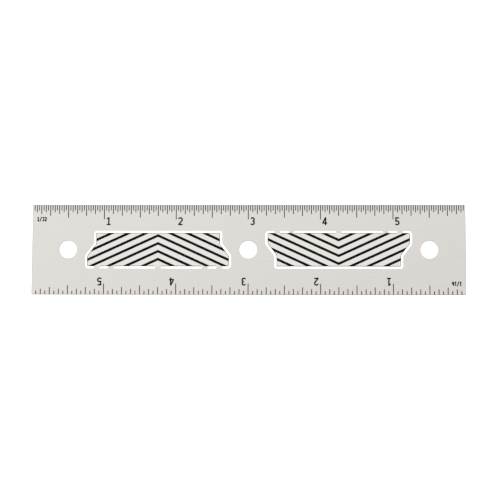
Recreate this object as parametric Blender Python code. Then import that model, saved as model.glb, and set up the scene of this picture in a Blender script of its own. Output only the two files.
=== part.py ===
"""Six inch steel ruler with two etched scales and two slotted chevron panels.

The blade is one flat piece of steel and lies on its back. X runs along it,
Y across it and Z through its thickness, and the origin is the middle of its
underside. The fine scale is along the +Y edge and is counted from the -X
end. The coarse scale is along the -Y edge and is counted from the +X end.
All lengths are in metres.
"""

import math

import bmesh
import bpy

MM = 0.001
INCH = 0.0254

# Blade
BLADE_LENGTH = 6.0 * INCH
BLADE_WIDTH = 1.25 * INCH
BLADE_THICKNESS = 1.0 * MM
BLADE_CORNER_RADIUS = 0.3 * MM
EDGE_CHAMFER = 0.12 * MM

# Round holes on the centre line, the outer two set in from the ends
HOLE_COUNT = 3
HOLE_DIAMETER = 6.1 * MM
HOLE_END_INSET = 0.5 * INCH

# Marks etched into the upper face
ETCH_DEPTH = 0.1 * MM

# Scales: a tick is one step longer for each time that its number can be halved
TICK_WIDTH = 0.3 * MM
TICK_LENGTH_STEP = 0.025 * INCH
FINE_DIVISIONS = 32
FINE_SHORTEST_TICK = 2.05 * MM
COARSE_DIVISIONS = 16
COARSE_SHORTEST_TICK = 1.35 * MM

# Chevron panels, one between each pair of holes and measured to the middle of
# the slot round it. Steel is left between a panel and the holes and edges.
PANEL_HOLE_LAND = 3.35 * MM
PANEL_EDGE_LAND = 9.6 * MM
PANEL_TAPER = 0.125 * INCH
PANEL_TAPER_STEPS = 3
WIDE_CORNER_RADIUS = 0.9 * MM
NARROW_CORNER_RADIUS = 0.5 * MM

# Slot cut through the blade round a panel, and the bridges left across it
SLOT_WIDTH = 0.75 * MM
BRIDGE_WIDTH = 2.0 * MM
OUTER_BRIDGE_INSET = 3.8 * MM
BRIDGE_SPACING = 5.05 * MM

# Etched line along the inner edge of the slot, and the etched chevrons
BORDER_WIDTH = 0.18 * MM
STRIPE_ANGLE = math.radians(24.6)
STRIPE_WIDTH = 0.9 * MM
STRIPE_PITCH = 2.78 * MM
FIRST_STRIPE_INSET = 1.32 * MM

# Finish: pale brushed steel, with black fill in the etched marks
STEEL_COLOUR = "DEDBD7"
STEEL_ROUGHNESS = 0.35
FILL_COLOUR = "0D0C09"
FILL_ROUGHNESS = 0.6

# How finely arcs are divided, how far cutters run past the steel, and the
# distance under which two points are one
ARC_STEP = math.radians(15.0)
HOLE_SEGMENTS = 48
CUT_CLEARANCE = 1.0 * MM
WELD_DISTANCE = 0.001 * MM

HOLE_RADIUS = HOLE_DIAMETER / 2
HOLE_SPACING = (BLADE_LENGTH - 2 * HOLE_END_INSET) / (HOLE_COUNT - 1)
PANEL_HEIGHT = BLADE_WIDTH - 2 * PANEL_EDGE_LAND
PANEL_HALF_WIDE = HOLE_SPACING / 2 - HOLE_RADIUS - PANEL_HOLE_LAND
PANEL_HALF_NARROW = PANEL_HALF_WIDE - PANEL_TAPER
STRIPE_SLOPE = math.tan(STRIPE_ANGLE)


def linear_colour(hex_colour):
    """Linear RGBA for an sRGB hex value."""
    channels = [int(hex_colour[i:i + 2], 16) / 255 for i in (0, 2, 4)]
    return [c / 12.92 if c <= 0.04045 else ((c + 0.055) / 1.055) ** 2.4 for c in channels] + [1.0]


def make_material(name, hex_colour, metallic, roughness):
    """Principled BSDF material of one colour."""
    material = bpy.data.materials.new(name)
    material.use_nodes = True
    shader = material.node_tree.nodes["Principled BSDF"]
    shader.inputs["Base Color"].default_value = linear_colour(hex_colour)
    shader.inputs["Metallic"].default_value = metallic
    shader.inputs["Roughness"].default_value = roughness
    material.diffuse_color = linear_colour(hex_colour)
    return material


def make_collection(name):
    """New collection in the scene."""
    collection = bpy.data.collections.new(name)
    bpy.context.scene.collection.children.link(collection)
    return collection


def circle_outline(centre_x, radius):
    """Points of a circle on the centre line."""
    angles = [2 * math.pi * i / HOLE_SEGMENTS for i in range(HOLE_SEGMENTS)]
    return [(centre_x + radius * math.cos(a), -radius * math.sin(a)) for a in angles]


def unit_direction(start, end):
    """Unit vector from one point to another."""
    length = math.dist(start, end)
    return (end[0] - start[0]) / length, (end[1] - start[1]) / length


def rounded_outline(corners, radii, inset=0.0):
    """Anticlockwise outline moved inwards by an inset, with its corners rounded.

    The radii are those before the move. An outward corner gets tighter as the
    outline moves in, down to a sharp one, and an inward corner gets wider.
    """
    points = []
    for index, corner in enumerate(corners):
        way_in = unit_direction(corners[index - 1], corner)
        way_out = unit_direction(corner, corners[(index + 1) % len(corners)])
        cross = way_in[0] * way_out[1] - way_in[1] * way_out[0]
        dot = way_in[0] * way_out[0] + way_in[1] * way_out[1]
        turn = math.atan2(cross, dot)
        side = math.copysign(1.0, turn)
        mitre = (-(way_in[1] + way_out[1]) / (1 + dot), (way_in[0] + way_out[0]) / (1 + dot))
        radius = max(radii[index] - inset * side, 0.0)
        centre = [c + m * (inset + radius * side) for c, m in zip(corner, mitre)]
        first = math.atan2(-way_in[0] * side, way_in[1] * side)
        steps = max(1, round(abs(turn) / ARC_STEP)) if radius > WELD_DISTANCE else 0
        for step in range(steps + 1):
            angle = first + turn * step / max(steps, 1)
            points.append((centre[0] + radius * math.cos(angle), centre[1] + radius * math.sin(angle)))
    return points


def flat_solid(name, outlines, bottom, top, collection, chamfer=0.0):
    """Solid between two heights with the given outlines, those that lie inside another as holes."""
    curve = bpy.data.curves.new(name, "CURVE")
    curve.dimensions = "2D"
    curve.fill_mode = "BOTH"
    curve.extrude = (top - bottom) / 2 - chamfer
    curve.bevel_depth = chamfer
    curve.bevel_resolution = 0
    curve.offset = -chamfer
    for outline in outlines:
        spline = curve.splines.new("POLY")
        spline.points.add(len(outline) - 1)
        for point, (x, y) in zip(spline.points, outline):
            point.co = (x, y, 0.0, 1.0)
        spline.use_cyclic_u = True
    draft = bpy.data.objects.new(name + "_curve", curve)
    collection.objects.link(draft)
    depsgraph = bpy.context.evaluated_depsgraph_get()
    mesh = bpy.data.meshes.new_from_object(draft.evaluated_get(depsgraph))
    mesh.name = name
    shape = bmesh.new()
    shape.from_mesh(mesh)
    bmesh.ops.remove_doubles(shape, verts=shape.verts, dist=WELD_DISTANCE)
    bmesh.ops.recalc_face_normals(shape, faces=shape.faces)
    for vertex in shape.verts:
        rise = chamfer if abs(vertex.co.z) < (top - bottom - chamfer) / 2 else 0.0
        vertex.co.z = top - rise if vertex.co.z > 0 else bottom + rise
    shape.to_mesh(mesh)
    shape.free()
    solid = bpy.data.objects.new(name, mesh)
    collection.objects.link(solid)
    bpy.data.objects.remove(draft)
    return solid


def box_group(name, boxes, collection):
    """One object made of boxes, each given by its lowest and highest corners."""
    shape = bmesh.new()
    for low, high in boxes:
        for vertex in bmesh.ops.create_cube(shape, size=1.0)["verts"]:
            vertex.co = [b if c > 0 else a for a, b, c in zip(low, high, vertex.co)]
    mesh = bpy.data.meshes.new(name)
    shape.to_mesh(mesh)
    shape.free()
    group = bpy.data.objects.new(name, mesh)
    collection.objects.link(group)
    return group


def trim(target, tool, operation):
    """Cut a tool out of a solid, or keep what they share."""
    modifier = target.modifiers.new(tool.name, "BOOLEAN")
    modifier.solver = "EXACT"
    modifier.operation = operation
    modifier.object = tool


def cut_with_all(target, tools):
    """Cut a collection of tools out of a solid at once, the cut faces taking each tool's material."""
    modifier = target.modifiers.new(tools.name, "BOOLEAN")
    modifier.solver = "EXACT"
    modifier.operation = "DIFFERENCE"
    modifier.operand_type = "COLLECTION"
    modifier.collection = tools
    modifier.material_mode = "TRANSFER"


def scale_ticks(divisions, shortest, edge_side, start_side):
    """Boxes for the ticks of one scale.

    edge_side is the blade's long edge, +1 for +Y. start_side is the end that
    the scale is counted from, +1 for +X.
    """
    pitch = INCH / divisions
    count = math.floor(BLADE_LENGTH / pitch - 0.5)
    highest_level = divisions.bit_length() - 1
    boxes = []
    for number in range(1, count + 1):
        level = 0
        while level < highest_level and number % 2 ** (level + 1) == 0:
            level += 1
        length = shortest + TICK_LENGTH_STEP * level
        x = start_side * (BLADE_LENGTH / 2 - number * pitch)
        inner_y = edge_side * (BLADE_WIDTH / 2 - length)
        outer_y = edge_side * (BLADE_WIDTH / 2 + CUT_CLEARANCE)
        low = (x - TICK_WIDTH / 2, min(inner_y, outer_y), BLADE_THICKNESS - ETCH_DEPTH)
        high = (x + TICK_WIDTH / 2, max(inner_y, outer_y), BLADE_THICKNESS + CUT_CLEARANCE)
        boxes.append((low, high))
    return boxes


def panel_outline(inset):
    """Outline of a panel about its own middle, moved in from the middle of the slot.

    The wide side faces -Y. Each end rises from it, slants in by the taper
    over the middle step of its height and rises on to the narrow side.
    """
    low = -PANEL_HEIGHT / 2
    high = PANEL_HEIGHT / 2
    bend = PANEL_HEIGHT / PANEL_TAPER_STEPS
    right = [(PANEL_HALF_WIDE, low), (PANEL_HALF_WIDE, low + bend),
             (PANEL_HALF_NARROW, high - bend), (PANEL_HALF_NARROW, high)]
    radii = [WIDE_CORNER_RADIUS, WIDE_CORNER_RADIUS, WIDE_CORNER_RADIUS, NARROW_CORNER_RADIUS]
    left = [(-x, y) for x, y in reversed(right)]
    return rounded_outline(right + left, radii + radii[::-1], inset)


def bridge_blocks(name, width, reach, collection):
    """Blocks where bridges cross a panel's wide side, from outside the slot to a reach inside it."""
    outer = PANEL_HALF_WIDE - OUTER_BRIDGE_INSET
    inner = outer - BRIDGE_SPACING
    slot_y = -PANEL_HEIGHT / 2
    boxes = []
    for x in (-outer, -inner, 0.0, inner, outer):
        low = (x - width / 2, slot_y - SLOT_WIDTH, -2 * CUT_CLEARANCE)
        high = (x + width / 2, slot_y + reach, BLADE_THICKNESS + 2 * CUT_CLEARANCE)
        boxes.append((low, high))
    return box_group(name, boxes, collection)


def chevron_outlines():
    """Outlines of a panel's chevrons, their points towards the narrow side and their arms past its ends."""
    half_rise = STRIPE_WIDTH / (2 * math.cos(STRIPE_ANGLE))
    reach = PANEL_HALF_WIDE + CUT_CLEARANCE
    fall = reach * STRIPE_SLOPE
    beyond = FIRST_STRIPE_INSET + PANEL_HALF_NARROW * STRIPE_SLOPE
    first = -math.floor(beyond / STRIPE_PITCH - 0.5)
    last = math.floor((PANEL_HEIGHT - FIRST_STRIPE_INSET) / STRIPE_PITCH - 0.5)
    outlines = []
    for number in range(first, last + 1):
        point_y = PANEL_HEIGHT / 2 - FIRST_STRIPE_INSET - number * STRIPE_PITCH
        upper = point_y + half_rise
        lower = point_y - half_rise
        outlines.append([(0.0, upper), (-reach, upper - fall), (-reach, lower - fall),
                         (0.0, lower), (reach, lower - fall), (reach, upper - fall)])
    return outlines


def panel_cutters(name, centre_x, turn, fill, cutters, trimmers):
    """Cutters for one panel: its slot, and its etched border and chevrons."""
    below = -CUT_CLEARANCE
    above = BLADE_THICKNESS + CUT_CLEARANCE
    etch_floor = BLADE_THICKNESS - ETCH_DEPTH
    slot_inner = SLOT_WIDTH / 2
    border_inner = slot_inner + BORDER_WIDTH

    slot = flat_solid(name + "_slot", [panel_outline(-slot_inner), panel_outline(slot_inner)],
                      below, above, cutters)
    border = flat_solid(name + "_border", [panel_outline(0.0), panel_outline(border_inner)],
                        etch_floor, above, cutters)
    chevrons = flat_solid(name + "_chevrons", chevron_outlines(), etch_floor, above, cutters)
    field = flat_solid(name + "_field", [panel_outline(0.0)], below, above + CUT_CLEARANCE, trimmers)
    bridges = bridge_blocks(name + "_bridges", BRIDGE_WIDTH, SLOT_WIDTH, trimmers)
    border_gaps = bridge_blocks(name + "_border_gaps", BRIDGE_WIDTH + 2 * BORDER_WIDTH,
                                border_inner + BORDER_WIDTH, trimmers)

    trim(slot, bridges, "DIFFERENCE")
    trim(border, border_gaps, "DIFFERENCE")
    trim(chevrons, field, "INTERSECT")
    for tool in (slot, border, chevrons, field, bridges, border_gaps):
        tool.location.x = centre_x
        tool.rotation_euler.z = turn
    for tool in (border, chevrons, field):
        tool.data.materials.append(fill)


def build_ruler():
    """Make the blade, cut its panels and etch its scales."""
    for leftover in list(bpy.data.objects):
        bpy.data.objects.remove(leftover)
    parts = make_collection("steel_ruler")
    cutters = make_collection("cutters")
    trimmers = make_collection("cutter_trimmers")
    steel = make_material("brushed_steel", STEEL_COLOUR, 1.0, STEEL_ROUGHNESS)
    fill = make_material("black_etch_fill", FILL_COLOUR, 0.0, FILL_ROUGHNESS)

    half_length = BLADE_LENGTH / 2
    half_width = BLADE_WIDTH / 2
    corners = [(half_length, half_width), (-half_length, half_width),
               (-half_length, -half_width), (half_length, -half_width)]
    holes_x = [HOLE_END_INSET - half_length + HOLE_SPACING * i for i in range(HOLE_COUNT)]
    outlines = [rounded_outline(corners, [BLADE_CORNER_RADIUS] * len(corners))]
    outlines += [circle_outline(x, HOLE_RADIUS) for x in holes_x]
    blade = flat_solid("ruler_blade", outlines, 0.0, BLADE_THICKNESS, parts, EDGE_CHAMFER)
    blade.data.materials.append(steel)

    for index in range(HOLE_COUNT - 1):
        centre_x = (holes_x[index] + holes_x[index + 1]) / 2
        panel_cutters(f"panel_{index + 1}", centre_x, math.pi * (index % 2), fill, cutters, trimmers)

    fine = scale_ticks(FINE_DIVISIONS, FINE_SHORTEST_TICK, 1, -1)
    coarse = scale_ticks(COARSE_DIVISIONS, COARSE_SHORTEST_TICK, -1, 1)
    ticks = box_group("scale_ticks", fine + coarse, cutters)
    ticks.data.materials.append(fill)

    cut_with_all(blade, cutters)
    for tool in list(cutters.objects) + list(trimmers.objects):
        tool.display_type = "WIRE"
        tool.hide_render = True


build_ruler()
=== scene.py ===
"""Finish for a six inch steel ruler, and the studio stage that it lies on.

The blade keeps the shape that it comes with. This file gives it its brushed
steel, fills its etched marks with black, prints the numbers of both scales
and sets up the floor, the light and the camera. Lengths are in metres. X
runs along the blade, Y across it and Z up out of its marked face.
"""

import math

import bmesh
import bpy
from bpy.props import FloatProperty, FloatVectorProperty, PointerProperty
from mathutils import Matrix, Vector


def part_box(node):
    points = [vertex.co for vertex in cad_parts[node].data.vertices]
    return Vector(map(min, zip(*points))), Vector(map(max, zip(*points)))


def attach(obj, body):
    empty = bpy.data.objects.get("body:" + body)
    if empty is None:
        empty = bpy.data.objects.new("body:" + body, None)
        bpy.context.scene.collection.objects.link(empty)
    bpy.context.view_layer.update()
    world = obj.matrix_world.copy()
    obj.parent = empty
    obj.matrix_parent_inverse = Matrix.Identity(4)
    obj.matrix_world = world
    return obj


bl_info = {
    "name": "Steel Ruler Finish",
    "version": (1, 0, 0),
    "blender": (4, 5, 0),
    "location": "3D View > Sidebar > Ruler",
    "description": "Finishes a six inch steel ruler and lays it on a studio stage",
    "category": "Object",
}

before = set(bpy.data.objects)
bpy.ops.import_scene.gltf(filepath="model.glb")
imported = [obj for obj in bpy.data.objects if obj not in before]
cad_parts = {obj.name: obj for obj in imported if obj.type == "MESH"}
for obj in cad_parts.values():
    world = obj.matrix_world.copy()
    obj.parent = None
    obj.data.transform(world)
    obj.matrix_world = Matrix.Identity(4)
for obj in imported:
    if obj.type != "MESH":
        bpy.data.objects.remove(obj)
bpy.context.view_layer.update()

MM = 0.001
INCH = 0.0254

BLADE = "ruler_blade"
BLADE_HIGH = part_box(BLADE)[1]
EDGE_CHAMFER = 0.12 * MM

# Cut faces of the blade: one is told by a normal that rises less than this. Those within a narrow band
# of the outline are the blade's own edges and chamfers, which get painted shade, and the others are walls
# of its holes and slots.
CUT_NORMAL = 0.9
SHADED_EDGE_BAND = 0.25 * MM

# Etched marks: how deep their floors lie, how exactly a floor is told by its height and its normal, and
# the angle and the distance within which its faces and their corners are made one
MARK_DEPTH = 0.1 * MM
MARK_TOLERANCE = 0.02 * MM
FLOOR_NORMAL = 0.99
SAME_PLANE = math.radians(1)
WELD_DISTANCE = 0.0005 * MM

# Panels: how far their middles lie from the blade's, and their size to the middle of the slot round them.
# Marks further than SCALE_BAND from the blade's centre line belong to a scale.
PANEL_CENTRE = 31.75 * MM
PANEL_HEIGHT = 12.55 * MM
PANEL_HALF_WIDE = 25.35 * MM
PANEL_TAPER = 3.175 * MM
SLOT_WIDTH = 0.75 * MM
SCALE_BAND = 8.0 * MM

# Numbers: the inches that each scale counts, and the strokes of each figure. A stroke is where the
# pen starts and its moves: (x, y) goes straight there, (x, y, degrees) swings round that centre in
# steps of a few degrees. A figure is 1 high, its foot at 0 and its middle at x = 0.
NUMBERED_INCHES = (1, 2, 3, 4, 5)
FIGURE_PITCH = 0.7
ARC_STEP = 12
FIGURES = {
    "1": (((0.03, 1.0), (0.03, 0.0)), ((-0.2, 0.8), (0.03, 0.9)), ((-0.22, 0.085), (0.26, 0.085))),
    "2": (((-0.208, 0.756), (0.0, 0.7, -195), (-0.19, 0.1)), ((-0.275, 0.085), (0.26, 0.085))),
    "3": (((-0.192, 0.81), (-0.01, 0.705, -240)), ((-0.01, 0.515), (-0.01, 0.3, -240))),
    "4": (((0.1, 1.0), (0.1, 0.0)), ((-0.24, 0.3), (0.1, 0.95)), ((-0.3, 0.27), (0.29, 0.27))),
    "5": (((-0.165, 1.0), (-0.165, 0.42)), ((-0.2, 0.915), (0.22, 0.915)),
          ((-0.165, 0.475), (-0.02, 0.305, -282))),
    "6": (((0.215, 0.3), (0.0, 0.3, 360)), ((-0.215, 0.3), (-0.215, 0.5), (0.2, 0.5, -75))),
    "/": (((-0.22, -0.06), (0.22, 1.06)),),
}

# Stage floor: how far it reaches to each side, and the hair's breadth that keeps it clear of the blade
STAGE_REACH = 3.0
STAGE_GAP = 0.02 * MM


def linear(hex_colour):
    """Linear RGBA for an sRGB hex value."""
    channels = [int(hex_colour[i:i + 2], 16) / 255 for i in (0, 2, 4)]
    return [c / 12.92 if c <= 0.04045 else ((c + 0.055) / 1.055) ** 2.4 for c in channels] + [1.0]


def colour_property(name, description, hex_colour):
    """Colour setting with its default as an sRGB hex value."""
    return FloatVectorProperty(name=name, description=description, subtype="COLOR", size=4,
                               min=0.0, max=1.0, default=linear(hex_colour))


def length_property(name, description, millimetres):
    """Length setting with its default in millimetres."""
    return FloatProperty(name=name, description=description, unit="LENGTH", subtype="DISTANCE",
                         precision=5, default=millimetres * MM)


class RulerSteelSettings(bpy.types.PropertyGroup):
    """Finish of the blade."""

    face_colour: colour_property("Face", "Colour of the brushed faces", "D5D2CE")
    panel_colour: colour_property("Panel", "Colour of the etched ground between the chevrons", "E2E1DD")
    wall_colour: colour_property("Wall", "Colour of the walls of holes and slots", "C8C5C1")
    # The edge colour is painted shade on the blade's outer edges and chamfers, not a colour of the steel.
    edge_colour: colour_property("Edge", "Colour of the sheared edges round the blade", "5E5C58")
    face_roughness: FloatProperty(name="Face Roughness", description="Roughness of the brushed faces",
                                  subtype="FACTOR", min=0.0, max=1.0, default=0.34)
    panel_roughness: FloatProperty(name="Panel Roughness", description="Roughness between the chevrons",
                                   subtype="FACTOR", min=0.0, max=1.0, default=0.48)
    grain_spacing: length_property("Grain Spacing", "Distance between brush lines", 0.3)
    grain_length: length_property("Grain Length", "Length of a brush line", 9.0)
    grain_relief: length_property("Grain Relief", "Height of the brush lines", 0.012)
    grain_contrast: FloatProperty(name="Grain Contrast", description="Change of tone along the brush lines",
                                  subtype="FACTOR", min=0.0, max=1.0, default=0.06)
    grain_blur: FloatProperty(name="Grain Blur", description="Change of roughness along the brush lines",
                              subtype="FACTOR", min=0.0, max=1.0, default=0.12)
    cloud_size: length_property("Cloud Size", "Width of the faint clouds that handling leaves", 11.0)
    cloud_contrast: FloatProperty(name="Cloud Contrast", description="Change of tone in the clouds",
                                  subtype="FACTOR", min=0.0, max=1.0, default=0.015)


class RulerMarkSettings(bpy.types.PropertyGroup):
    """Filling of the etched marks and the printed numbers."""

    ink_colour: colour_property("Ink", "Colour of the filling and the numbers", "060504")
    thinned_ink: FloatProperty(name="Thinned Ink", description="Brightness of the ink where it is "
                               "thinnest, to its colour", min=1.0, default=2.0)
    wipe_size: length_property("Wipe Size", "Width of the patches that wiping leaves in the ink", 0.5)
    filling_height: length_property("Filling Height", "Thickness of the filling in a groove", 0.085)
    print_thickness: length_property("Print Thickness", "How far the numbers stand above the face", 0.01)
    number_height: length_property("Number Height", "Height of an inch number", 2.85)
    number_stroke: length_property("Number Stroke", "Width of an inch number's strokes", 0.5)
    number_shift: length_property("Number Shift", "From an inch tick to the middle of its number", 1.49)
    fine_inset: length_property("Fine Inset", "From the fine edge to its numbers", 4.4)
    coarse_inset: length_property("Coarse Inset", "From the coarse edge to its numbers", 3.17)
    fraction_height: length_property("Fraction Height", "Height of a scale's fraction", 1.45)
    fraction_stroke: length_property("Fraction Stroke", "Width of a fraction's strokes", 0.4)
    fraction_stretch: FloatProperty(name="Fraction Stretch", description="Width of a fraction's figures, "
                                    "as a share of an inch number's", min=0.1, default=0.87)
    fraction_inset: length_property("Fraction Inset", "From the blade's end to the fraction's middle", 3.3)


class RulerStageSettings(bpy.types.PropertyGroup):
    """Floor, light and camera."""

    floor_colour: colour_property("Floor", "Colour of the floor", "F7F7F6")
    floor_glow: FloatProperty(name="Floor Glow", description="Light that the floor gives out by itself",
                              min=0.0, default=0.9)
    floor_tooth: length_property("Floor Tooth", "Size of the grain of the floor's card", 0.8)
    tent: FloatProperty(name="Tent", description="Brightness of the tent straight overhead",
                        min=0.0, default=1.03)
    surround: FloatProperty(name="Surround", description="Brightness of the tent low down",
                            min=0.0, default=0.8)
    darkest: FloatProperty(name="Darkest Side", description="Brightness of the tent's darkest side, to "
                           "its mean", min=0.0, max=1.0, default=0.8)
    brightest: FloatProperty(name="Brightest Side", description="Brightness of the tent's brightest side, "
                             "to its mean", min=1.0, default=1.25)
    lean_along: FloatProperty(name="Lean Along", description="How much brighter the tent is towards +X",
                              min=-1.0, max=1.0, default=-0.35)
    lean_across: FloatProperty(name="Lean Across", description="How much brighter the tent is towards +Y",
                               min=-1.0, max=1.0, default=0.8)
    camera_distance: length_property("Distance", "From the camera to the blade", 487.7)
    camera_tilt: FloatProperty(name="Tilt", description="Lean of the view towards the coarse edge",
                               subtype="ANGLE", default=math.radians(5.71))
    camera_side: FloatProperty(name="Side", description="Lean of the view towards the far end",
                               subtype="ANGLE", default=math.radians(1.40))
    camera_roll: FloatProperty(name="Roll", description="Turn of the camera about its own view",
                               subtype="ANGLE", default=math.radians(0.194))
    aim_x: length_property("Aim Along", "Point looked at, along the blade", 0.631)
    aim_y: length_property("Aim Across", "Point looked at, across the blade", -0.144)
    lens: FloatProperty(name="Lens", description="Focal length", unit="CAMERA", default=100.0)


def add_node(tree, kind, settings=None, values=None, links=None):
    """Add a node with its settings, the values of its sockets and the links into them."""
    node = tree.nodes.new(kind)
    for name, value in (settings or {}).items():
        setattr(node, name, value)
    for name, value in (values or {}).items():
        node.inputs[name].default_value = value
    for name, source in (links or {}).items():
        tree.links.new(source, node.inputs[name])
    return node


def new_material(name, values):
    """Material with a Principled shader set to the given values, as (material, tree, shader)."""
    material = bpy.data.materials.new(name)
    material.use_nodes = True
    tree = material.node_tree
    shader = tree.nodes["Principled BSDF"]
    for socket, value in values.items():
        shader.inputs[socket].default_value = value
    return material, tree, shader


def panel_mask(tree, x, y):
    """Nodes that give 1 inside either panel's outline, which turns half round from one end to the other."""
    side = add_node(tree, "ShaderNodeMath", {"operation": "SIGN"}, links={0: x})
    along = add_node(tree, "ShaderNodeMath", {"operation": "ABSOLUTE"}, links={0: x})
    along = add_node(tree, "ShaderNodeMath", {"operation": "SUBTRACT"}, {1: PANEL_CENTRE},
                     {0: along.outputs[0]})
    along = add_node(tree, "ShaderNodeMath", {"operation": "ABSOLUTE"}, links={0: along.outputs[0]})
    across = add_node(tree, "ShaderNodeMath", {"operation": "MULTIPLY"}, links={0: side.outputs[0], 1: y})
    reach = add_node(tree, "ShaderNodeMapRange", {"clamp": True},
                     {"From Min": -PANEL_HEIGHT / 6, "From Max": PANEL_HEIGHT / 6,
                      "To Min": PANEL_HALF_WIDE - PANEL_TAPER - SLOT_WIDTH / 2,
                      "To Max": PANEL_HALF_WIDE - SLOT_WIDTH / 2},
                     {"Value": across.outputs[0]})
    in_length = add_node(tree, "ShaderNodeMath", {"operation": "LESS_THAN"},
                         links={0: along.outputs[0], 1: reach.outputs["Result"]})
    height = add_node(tree, "ShaderNodeMath", {"operation": "ABSOLUTE"}, links={0: y})
    in_height = add_node(tree, "ShaderNodeMath", {"operation": "LESS_THAN"},
                         {1: (PANEL_HEIGHT - SLOT_WIDTH) / 2}, {0: height.outputs[0]})
    inside = add_node(tree, "ShaderNodeMath", {"operation": "MULTIPLY"},
                      links={0: in_length.outputs[0], 1: in_height.outputs[0]})
    return inside.outputs[0]


def brushed_stainless_steel(look):
    """Brushed stainless sheet, paler between the chevrons, with painted shade on its outer edges.

    The brush leaves long, hair-thin lines that blur what the steel mirrors
    across them. They are under 0.1 mm apart on real sheet, too fine to show,
    so they are drawn three times as coarse, and deeper to match. Etching has
    left the ground of the panels paler and more matt. It also cut the walls of
    the holes and slots, which stay fairly bright. The edges and chamfers round
    the blade get a dark colour that is painted shade.
    """
    material, tree, shader = new_material("brushed_stainless_steel", {"Metallic": 1.0})
    place = add_node(tree, "ShaderNodeTexCoord")
    spot = add_node(tree, "ShaderNodeSeparateXYZ", links={0: place.outputs["Object"]})
    surface = add_node(tree, "ShaderNodeNewGeometry")
    facing = add_node(tree, "ShaderNodeSeparateXYZ", links={0: surface.outputs["Normal"]})
    upright = add_node(tree, "ShaderNodeMath", {"operation": "ABSOLUTE"}, links={0: facing.outputs["Z"]})
    cut = add_node(tree, "ShaderNodeMath", {"operation": "LESS_THAN"}, {1: CUT_NORMAL},
                   {0: upright.outputs[0]})
    # Mask of the cut faces near the outline: the outer edges and chamfers, which get painted shade.
    reach = add_node(tree, "ShaderNodeVectorMath", {"operation": "ABSOLUTE"},
                     links={0: place.outputs["Object"]})
    reach = add_node(tree, "ShaderNodeVectorMath", {"operation": "SUBTRACT"},
                     {1: (BLADE_HIGH.x, BLADE_HIGH.y, 0.0)}, {0: reach.outputs["Vector"]})
    reach = add_node(tree, "ShaderNodeSeparateXYZ", links={0: reach.outputs["Vector"]})
    furthest = add_node(tree, "ShaderNodeMath", {"operation": "MAXIMUM"},
                        links={0: reach.outputs["X"], 1: reach.outputs["Y"]})
    shaded_edge_mask = add_node(tree, "ShaderNodeMath", {"operation": "GREATER_THAN"}, {1: -SHADED_EDGE_BAND},
                     {0: furthest.outputs[0]})
    panel = panel_mask(tree, spot.outputs["X"], spot.outputs["Y"])

    grain_scale = (1 / look.grain_length, 1 / look.grain_spacing, 1 / look.grain_spacing)
    grain_place = add_node(tree, "ShaderNodeMapping", values={"Scale": grain_scale},
                           links={"Vector": place.outputs["Object"]})
    grain = add_node(tree, "ShaderNodeTexNoise", values={"Scale": 1.0, "Detail": 3.0, "Roughness": 0.6},
                     links={"Vector": grain_place.outputs["Vector"]})
    cloud = add_node(tree, "ShaderNodeTexNoise", values={"Scale": 1 / look.cloud_size, "Detail": 2.0},
                     links={"Vector": place.outputs["Object"]})

    ground = add_node(tree, "ShaderNodeMix", {"data_type": "RGBA"},
                      {"A": look.face_colour, "B": look.panel_colour}, {"Factor": panel})
    # Walls of holes and slots keep their own colour. The outer edges and chamfers get the dark painted
    # shade.
    side = add_node(tree, "ShaderNodeMix", {"data_type": "RGBA"},
                    {"A": look.wall_colour, "B": look.edge_colour}, {"Factor": shaded_edge_mask.outputs[0]})
    metal = add_node(tree, "ShaderNodeMix", {"data_type": "RGBA"},
                     links={"Factor": cut.outputs[0], "A": ground.outputs["Result"],
                            "B": side.outputs["Result"]})
    grain_tone = add_node(tree, "ShaderNodeMapRange", {},
                          {"To Min": 1 - look.grain_contrast, "To Max": 1 + look.grain_contrast},
                          {"Value": grain.outputs[0]})
    cloud_tone = add_node(tree, "ShaderNodeMapRange", {},
                          {"To Min": 1 - look.cloud_contrast, "To Max": 1 + look.cloud_contrast},
                          {"Value": cloud.outputs[0]})
    tone = add_node(tree, "ShaderNodeMath", {"operation": "MULTIPLY"},
                    links={0: grain_tone.outputs["Result"], 1: cloud_tone.outputs["Result"]})
    toned = add_node(tree, "ShaderNodeVectorMath", {"operation": "SCALE"},
                     links={"Vector": metal.outputs["Result"], "Scale": tone.outputs[0]})
    tree.links.new(toned.outputs["Vector"], shader.inputs["Base Color"])

    blur = add_node(tree, "ShaderNodeMix", {}, {"A": look.face_roughness, "B": look.panel_roughness},
                    {"Factor": panel})
    blur_change = add_node(tree, "ShaderNodeMapRange", {},
                           {"To Min": -look.grain_blur, "To Max": look.grain_blur},
                           {"Value": grain.outputs[0]})
    blurred = add_node(tree, "ShaderNodeMath", {"operation": "ADD"},
                       links={0: blur.outputs["Result"], 1: blur_change.outputs["Result"]})
    tree.links.new(blurred.outputs[0], shader.inputs["Roughness"])
    relief = add_node(tree, "ShaderNodeBump", values={"Strength": 0.8, "Distance": look.grain_relief},
                      links={"Height": grain.outputs[0]})
    tree.links.new(relief.outputs["Normal"], shader.inputs["Normal"])
    return material


def black_marking_enamel(marks):
    """Matt black enamel wiped into the etched marks, faintly uneven where the wiping thinned it."""
    material, tree, shader = new_material("black_marking_enamel", {
        "Roughness": 0.62, "Specular IOR Level": 0.05})
    place = add_node(tree, "ShaderNodeTexCoord")
    wipe = add_node(tree, "ShaderNodeTexNoise", values={"Scale": 1 / marks.wipe_size, "Detail": 2.0},
                    links={"Vector": place.outputs["Object"]})
    thinned = [marks.thinned_ink * c for c in marks.ink_colour[:3]] + [1.0]
    colour = add_node(tree, "ShaderNodeMix", {"data_type": "RGBA"},
                      {"A": marks.ink_colour, "B": thinned}, {"Factor": wipe.outputs[0]})
    tree.links.new(colour.outputs["Result"], shader.inputs["Base Color"])
    relief = add_node(tree, "ShaderNodeBump", values={"Strength": 0.2, "Distance": 0.003 * MM},
                      links={"Height": wipe.outputs[0]})
    tree.links.new(relief.outputs["Normal"], shader.inputs["Normal"])
    return material


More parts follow.
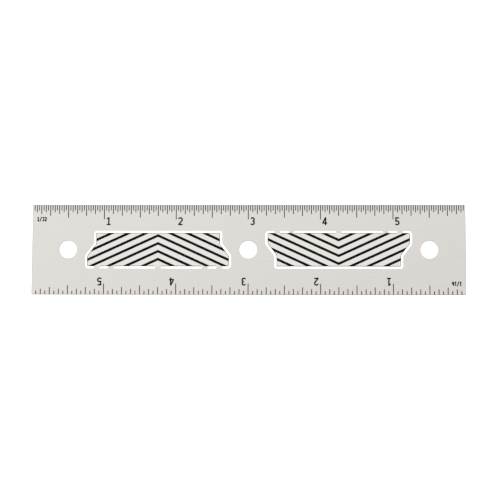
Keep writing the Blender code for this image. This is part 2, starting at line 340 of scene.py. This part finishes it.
def matt_white_card(stage):
    """Uncoated white card, lit from behind a little so that it stays white round the blade."""
    material, tree, shader = new_material("matt_white_card", {
        "Base Color": stage.floor_colour, "Specular IOR Level": 0.1,
        "Emission Color": stage.floor_colour, "Emission Strength": stage.floor_glow})
    place = add_node(tree, "ShaderNodeTexCoord")
    tooth = add_node(tree, "ShaderNodeTexNoise", values={"Scale": 1 / stage.floor_tooth},
                     links={"Vector": place.outputs["Object"]})
    blur = add_node(tree, "ShaderNodeMapRange", {}, {"To Min": 0.85, "To Max": 0.95},
                    {"Value": tooth.outputs[0]})
    tree.links.new(blur.outputs["Result"], shader.inputs["Roughness"])
    return material


def soft_room(tree, stage):
    """Nodes of a white tent round the stage: brightest overhead, brighter to the left and the back.

    Its brightness overhead sets the tone of the blade in the main view. From
    there it falls off smoothly to a little above the floor.
    """
    direction = add_node(tree, "ShaderNodeTexCoord")
    lean = add_node(tree, "ShaderNodeVectorMath", {"operation": "DOT_PRODUCT"},
                    {1: (stage.lean_along, stage.lean_across, 0.0)}, {0: direction.outputs["Generated"]})
    leaning = add_node(tree, "ShaderNodeMath", {"operation": "ADD"}, {1: 1.0}, {0: lean.outputs["Value"]})
    shade = add_node(tree, "ShaderNodeClamp", {}, {"Min": stage.darkest, "Max": stage.brightest},
                     {"Value": leaning.outputs[0]})
    height = add_node(tree, "ShaderNodeSeparateXYZ", links={0: direction.outputs["Generated"]})
    rise = add_node(tree, "ShaderNodeMapRange", {"interpolation_type": "SMOOTHSTEP"},
                    {"From Min": 0.1, "From Max": 0.8, "To Min": stage.surround, "To Max": stage.tent},
                    {"Value": height.outputs["Z"]})
    light = add_node(tree, "ShaderNodeMath", {"operation": "MULTIPLY"},
                     links={0: rise.outputs["Result"], 1: shade.outputs[0]})
    backdrop = tree.nodes["Background"]
    backdrop.inputs["Color"].default_value = (1.0, 1.0, 1.0, 1.0)
    tree.links.new(light.outputs[0], backdrop.inputs["Strength"])


def put_in_order(shape):
    """Order a bmesh's corners and faces by place, because its operators may order them anew each run."""
    by_place = sorted(shape.verts, key=lambda corner: corner.co.to_tuple(8))
    rank = {corner: number for number, corner in enumerate(by_place)}
    shape.verts.sort(key=rank.get)
    shape.verts.index_update()
    for face in shape.faces[:]:
        corners = face.verts[:]
        first = corners.index(min(corners, key=lambda corner: corner.index))
        shape.faces.remove(face)
        shape.faces.new(corners[first:] + corners[:first])
    by_corners = sorted(shape.faces, key=lambda face: sorted(corner.index for corner in face.verts))
    rank = {face: number for number, face in enumerate(by_corners)}
    shape.faces.sort(key=rank.get)


def finished_piece(name, shape, material):
    """Turn a bmesh into a piece of the ruler with a material, hung under the root body."""
    put_in_order(shape)
    mesh = bpy.data.meshes.new(name)
    shape.to_mesh(mesh)
    shape.free()
    mesh.materials.append(material)
    piece = bpy.data.objects.new(name, mesh)
    bpy.context.scene.collection.objects.link(piece)
    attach(piece, "root")
    return piece


def groove_floors(wanted):
    """bmesh of the etched floors whose middles pass a test, each made one face where it can be."""
    shape = bmesh.new()
    shape.from_mesh(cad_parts[BLADE].data)
    bmesh.ops.remove_doubles(shape, verts=shape.verts, dist=WELD_DISTANCE)
    floor_z = BLADE_HIGH.z - MARK_DEPTH
    others = []
    for face in shape.faces:
        middle = face.calc_center_median()
        is_floor = face.normal.z > FLOOR_NORMAL and abs(middle.z - floor_z) < MARK_TOLERANCE
        if not (is_floor and wanted(middle)):
            others.append(face)
    bmesh.ops.delete(shape, geom=others, context="FACES")
    bmesh.ops.dissolve_limit(shape, angle_limit=SAME_PLANE, verts=shape.verts, edges=shape.edges)
    return shape


def trim_past(shape, point, outwards):
    """Cut away what a filling has past a plane, and close it there."""
    everything = shape.verts[:] + shape.edges[:] + shape.faces[:]
    cut = bmesh.ops.bisect_plane(shape, geom=everything, dist=WELD_DISTANCE, plane_co=point,
                                 plane_no=Vector(outwards).normalized(), clear_outer=True)
    rim = [item for item in cut["geom_cut"] if isinstance(item, bmesh.types.BMEdge)]
    bmesh.ops.holes_fill(shape, edges=rim)


def filling(name, wanted, limits, height, material):
    """Filling for the grooves that pass a test, raised from their floors and cut back to some planes."""
    shape = groove_floors(wanted)
    if not shape.faces:
        raise RuntimeError(f"no etched floor was found for {name}")
    raised = bmesh.ops.extrude_face_region(shape, geom=shape.faces[:], use_keep_orig=True)
    top = [item for item in raised["geom"] if isinstance(item, bmesh.types.BMVert)]
    bmesh.ops.translate(shape, verts=top, vec=(0.0, 0.0, height))
    for point, outwards in limits:
        trim_past(shape, point, outwards)
    bmesh.ops.recalc_face_normals(shape, faces=shape.faces)
    return finished_piece(name, shape, material)


def pen_line(shape, tip, x, y):
    """Draw straight on from the pen's tip to a point, and return the tip there."""
    end = bmesh.ops.extrude_vert_indiv(shape, verts=[tip])["verts"][0]
    end.co = (x, y, 0.0)
    return end


def pen_arc(shape, tip, x, y, degrees):
    """Swing the pen's tip round a centre, counterclockwise for a positive angle, and return the tip."""
    swung = bmesh.ops.spin(shape, geom=[tip], cent=(x, y, 0.0), axis=(0.0, 0.0, 1.0),
                           angle=math.radians(degrees), steps=math.ceil(abs(degrees) / ARC_STEP),
                           use_merge=abs(degrees) == 360)
    return next((item for item in swung["geom_last"] if isinstance(item, bmesh.types.BMVert)), tip)


def figures_mesh(text, stroke):
    """Mesh of some figures in a row, 1 high and thick, the middle of their foot at the origin."""
    shape = bmesh.new()
    for index, figure in enumerate(text):
        shift = (index - (len(text) - 1) / 2) * FIGURE_PITCH
        for (start_x, start_y), *moves in FIGURES[figure]:
            tip = shape.verts.new((start_x + shift, start_y, 0.0))
            for x, y, *swing in moves:
                tip = (pen_arc if swing else pen_line)(shape, tip, x + shift, y, *swing)
    raised = bmesh.ops.extrude_edge_only(shape, edges=shape.edges[:])
    top = [item for item in raised["geom"] if isinstance(item, bmesh.types.BMVert)]
    bmesh.ops.translate(shape, verts=top, vec=(0.0, 0.0, 1.0))
    mesh = bpy.data.meshes.new("figures")
    shape.to_mesh(mesh)
    shape.free()
    draft = bpy.data.objects.new("figures", mesh)
    bpy.context.scene.collection.objects.link(draft)
    widen = draft.modifiers.new("stroke", "SOLIDIFY")
    widen.thickness = stroke
    widen.offset = 0.0
    widen.use_even_offset = True
    bpy.context.view_layer.update()
    widened = draft.evaluated_get(bpy.context.evaluated_depsgraph_get())
    result = bpy.data.meshes.new_from_object(widened)
    bpy.data.objects.remove(draft)
    bpy.data.meshes.remove(mesh)
    return result


def print_figures(shape, text, x, edge_side, inset, height, stroke, thickness, stretch=1.0):
    """Add figures to a bmesh, their heads towards one long edge and a set way in from it."""
    mesh = figures_mesh(text, stroke / height)
    turn = Matrix.Identity(4) if edge_side > 0 else Matrix.Rotation(math.pi, 4, "Z")
    foot = edge_side * (BLADE_HIGH.y - inset - height)
    place = Matrix.Translation((x, foot, BLADE_HIGH.z - thickness))
    mesh.transform(place @ turn @ Matrix.Diagonal((stretch * height, height, 2 * thickness, 1.0)))
    shape.from_mesh(mesh)
    bpy.data.meshes.remove(mesh)


class RULER_OT_finish_blade(bpy.types.Operator):
    """Give the blade its brushed steel"""

    bl_idname = "ruler.finish_blade"
    bl_label = "Finish Blade"

    def execute(self, context):
        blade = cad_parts[BLADE]
        blade.data.materials.clear()
        blade.data.materials.append(brushed_stainless_steel(context.scene.ruler_steel))
        return {"FINISHED"}


class RULER_OT_fill_marks(bpy.types.Operator):
    """Fill the etched ticks, borders and chevrons with black"""

    bl_idname = "ruler.fill_marks"
    bl_label = "Fill Marks"

    def execute(self, context):
        marks = context.scene.ruler_marks
        ink = black_marking_enamel(marks)
        # Ticks stop at the chamfers of the long edges. The grooves of the chevrons run a little way on to
        # the bridges, and their filling stops at the panel's own edge.
        chamfers = [((0.0, side * BLADE_HIGH.y, BLADE_HIGH.z - EDGE_CHAMFER), (0.0, side, 1.0))
                    for side in (1, -1)]
        panel_edges = [((0.0, side * (PANEL_HEIGHT - SLOT_WIDTH) / 2, 0.0), (0.0, side, 0.0))
                       for side in (1, -1)]
        groups = {
            "fine_scale_filling": (lambda middle: middle.y > SCALE_BAND, chamfers),
            "coarse_scale_filling": (lambda middle: middle.y < -SCALE_BAND, chamfers),
            "left_panel_filling": (
                lambda middle: abs(middle.y) < SCALE_BAND and middle.x < 0, panel_edges),
            "right_panel_filling": (
                lambda middle: abs(middle.y) < SCALE_BAND and middle.x > 0, panel_edges),
        }
        for name, (wanted, limits) in groups.items():
            filling(name, wanted, limits, marks.filling_height, ink)
        return {"FINISHED"}


class RULER_OT_print_numbers(bpy.types.Operator):
    """Print the inch numbers of both scales and the fraction that each is divided into"""

    bl_idname = "ruler.print_numbers"
    bl_label = "Print Numbers"

    def execute(self, context):
        marks = context.scene.ruler_marks
        ink = bpy.data.materials["black_marking_enamel"]
        scales = {
            "fine_scale_numbers": (-1, 1, marks.fine_inset, "1/32"),
            "coarse_scale_numbers": (1, -1, marks.coarse_inset, "1/16"),
        }
        for name, (start_side, edge_side, inset, fraction) in scales.items():
            shape = bmesh.new()
            start = start_side * BLADE_HIGH.x
            for number in NUMBERED_INCHES:
                x = start - start_side * (number * INCH + marks.number_shift)
                print_figures(shape, str(number), x, edge_side, inset, marks.number_height,
                              marks.number_stroke, marks.print_thickness)
            x = start - start_side * marks.fraction_inset
            print_figures(shape, fraction, x, edge_side, inset, marks.fraction_height,
                          marks.fraction_stroke, marks.print_thickness, marks.fraction_stretch)
            bmesh.ops.remove_doubles(shape, verts=shape.verts, dist=WELD_DISTANCE)
            bmesh.ops.recalc_face_normals(shape, faces=shape.faces)
            finished_piece(name, shape, ink)
        return {"FINISHED"}


class RULER_OT_set_stage(bpy.types.Operator):
    """Set up the floor, the light and the camera"""

    bl_idname = "ruler.set_stage"
    bl_label = "Set Stage"

    def execute(self, context):
        scene = context.scene
        stage = scene.ruler_stage

        shape = bmesh.new()
        bmesh.ops.create_grid(shape, x_segments=1, y_segments=1, size=STAGE_REACH,
                              matrix=Matrix.Translation((0.0, 0.0, -STAGE_GAP)))
        mesh = bpy.data.meshes.new("floor")
        shape.to_mesh(mesh)
        shape.free()
        mesh.materials.append(matt_white_card(stage))
        floor = bpy.data.objects.new("floor", mesh)
        scene.collection.objects.link(floor)

        world = bpy.data.worlds.new("studio")
        world.use_nodes = True
        soft_room(world.node_tree, stage)
        scene.world = world
        scene.view_settings.view_transform = "Standard"

        back = Vector((math.sin(stage.camera_side), -math.sin(stage.camera_tilt), 0.0))
        back.z = math.sqrt(1 - back.length_squared)
        right = Vector((0.0, 1.0, 0.0)).cross(back).normalized()
        up = back.cross(right)
        turn = Matrix((right, up, back)).transposed().to_4x4()
        aim = Vector((stage.aim_x, stage.aim_y, BLADE_HIGH.z))
        data = bpy.data.cameras.new("camera")
        data.lens = stage.lens
        data.sensor_width = 36.0
        data.clip_start = 0.01
        camera = bpy.data.objects.new("camera", data)
        camera.matrix_world = (Matrix.Translation(aim + back * stage.camera_distance) @ turn
                               @ Matrix.Rotation(stage.camera_roll, 4, "Z"))
        scene.collection.objects.link(camera)
        scene.camera = camera
        return {"FINISHED"}


class RULER_PT_sidebar(bpy.types.Panel):
    """Settings and steps of the ruler's finish"""

    bl_idname = "RULER_PT_sidebar"
    bl_label = "Steel Ruler"
    bl_space_type = "VIEW_3D"
    bl_region_type = "UI"
    bl_category = "Ruler"

    def draw(self, context):
        layout = self.layout
        steps = {
            "ruler_steel": (RULER_OT_finish_blade,),
            "ruler_marks": (RULER_OT_fill_marks, RULER_OT_print_numbers),
            "ruler_stage": (RULER_OT_set_stage,),
        }
        for group, operators in steps.items():
            settings = getattr(context.scene, group)
            for name in settings.__annotations__:
                layout.prop(settings, name)
            for operator in operators:
                layout.operator(operator.bl_idname)


SETTINGS = {
    "ruler_steel": RulerSteelSettings,
    "ruler_marks": RulerMarkSettings,
    "ruler_stage": RulerStageSettings,
}
CLASSES = (*SETTINGS.values(), RULER_OT_finish_blade, RULER_OT_fill_marks, RULER_OT_print_numbers,
           RULER_OT_set_stage, RULER_PT_sidebar)


def register():
    """Add the settings, operators and panel."""
    for each in CLASSES:
        bpy.utils.register_class(each)
    for name, group in SETTINGS.items():
        setattr(bpy.types.Scene, name, PointerProperty(type=group))


def unregister():
    """Take them away again."""
    for name in SETTINGS:
        delattr(bpy.types.Scene, name)
    for each in reversed(CLASSES):
        bpy.utils.unregister_class(each)


def main():
    """Run the steps in order."""
    register()
    bpy.ops.ruler.finish_blade()
    bpy.ops.ruler.fill_marks()
    bpy.ops.ruler.print_numbers()
    bpy.ops.ruler.set_stage()


if __name__ == "__main__":
    main()
